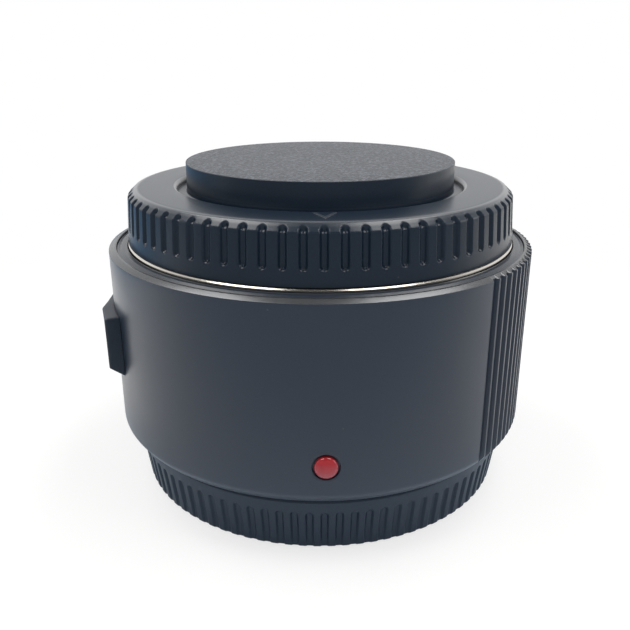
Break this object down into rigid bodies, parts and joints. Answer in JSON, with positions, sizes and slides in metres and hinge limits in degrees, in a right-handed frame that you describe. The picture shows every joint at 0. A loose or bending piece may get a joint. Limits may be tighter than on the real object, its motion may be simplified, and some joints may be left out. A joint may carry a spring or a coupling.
{
  "type": "camera teleconverter",
  "caption": "Capped teleconverter with a satin black grooved barrel, bayonet mounts, a side release lever, a red index dome and slotted dust caps.",
  "frame": {"origin": "on the optical axis, on the rear cap's underside", "axes": "+Z along the optical axis towards the lens side, -Y towards the index dome, +X towards the grip"},
  "size_m": [0.0675, 0.0677, 0.051],
  "materials": {
    "cap_black": "moulded, fine grain",
    "mount_bright": "turned, bright plated",
    "screw_steel": "plated",
    "gasket_rubber": "smooth",
    "block_black": "moulded",
    "contact_gold": "gold plated",
    "frame_metal": "cast, machined seats",
    "cell_black": "matt black anodised",
    "lens_glass": "polished, coated",
    "board_green": "solder mask",
    "chip_black": "moulded",
    "flex_amber": "film",
    "lock_steel": "machined",
    "spring_steel": "drawn",
    "barrel_black": "satin black, fine texture",
    "index_red": "polished",
    "lever_black": "moulded, fine grain",
    "trim_black": "satin black"
  },
  "bodies": {
    "converter": {"rear_mount_ring": "mount_bright", "front_mount_ring": "mount_bright", "rear_mount_screws": "screw_steel", "front_mount_screws": "screw_steel", "cell_screws": "screw_steel", "mount_gasket": "gasket_rubber", "rear_contact_block": "block_black", "front_contact_block": "block_black", "rear_contact_pads": "contact_gold", "main_frame": "frame_metal", "rear_lens_cell": "cell_black", "front_lens_cell": "cell_black", "rear_light_mask": "cell_black", "rear_retaining_ring": "cell_black", "triplet_retaining_ring": "cell_black", "spacer_ring": "cell_black", "front_retaining_ring": "cell_black", "rear_glass": "lens_glass", "triplet_front_glass": "lens_glass", "triplet_middle_glass": "lens_glass", "triplet_rear_glass": "lens_glass", "doublet_front_glass": "lens_glass", "doublet_rear_glass": "lens_glass", "front_glass": "lens_glass", "circuit_board": "board_green", "circuit_chips": "chip_black", "flex_circuit": "flex_amber", "lock_spring": "spring_steel", "outer_barrel": "barrel_black", "index_dome": "index_red", "front_trim_ring": "trim_black", "mount_springs": "spring_steel", "front_index_dot": "index_red"},
    "front_cap": {"front_cap": "cap_black"},
    "rear_cap": {"rear_cap": "cap_black"},
    "release_lever": {"release_lever": "lever_black", "lever_slider": "lock_steel", "lever_screws": "screw_steel"},
    "lens_lock": {"lens_lock_pin": "lock_steel"},
    "contact_pins": {"front_contact_pins": "contact_gold"}
  },
  "joints": [
    {"name": "front_cap_twist", "type": "hinge", "parent": "converter", "child": "front_cap", "pos_m": [0, 0, 0.0394], "axis": [0, 0, 1], "range_deg": [0, 45]},
    {"name": "rear_cap_twist", "type": "hinge", "parent": "converter", "child": "rear_cap", "pos_m": [0, 0, 0], "axis": [0, 0, -1], "range_deg": [0, 45]},
    {"name": "release_lever_turn", "type": "hinge", "parent": "converter", "child": "release_lever", "pos_m": [0, 0, 0.025], "axis": [0, 0, -1], "range_deg": [0, 8]},
    {"name": "lens_lock_draw", "type": "slide", "parent": "converter", "child": "lens_lock", "axis": [0, 0, -1], "range_m": [0, 0.002], "stiffness_N_per_m": 20, "springref_m": -0.002, "deforming": ["lock_spring"]},
    {"name": "contact_pins_press", "type": "slide", "parent": "converter", "child": "contact_pins", "axis": [0, 0, -1], "range_m": [0, 0.0006], "stiffness_N_per_m": 400, "springref_m": -0.0006}
  ],
  "couplings": [
    {"joint": "release_lever_turn", "follows": "lens_lock_draw", "rad_per_m": 69.5}
  ]
}
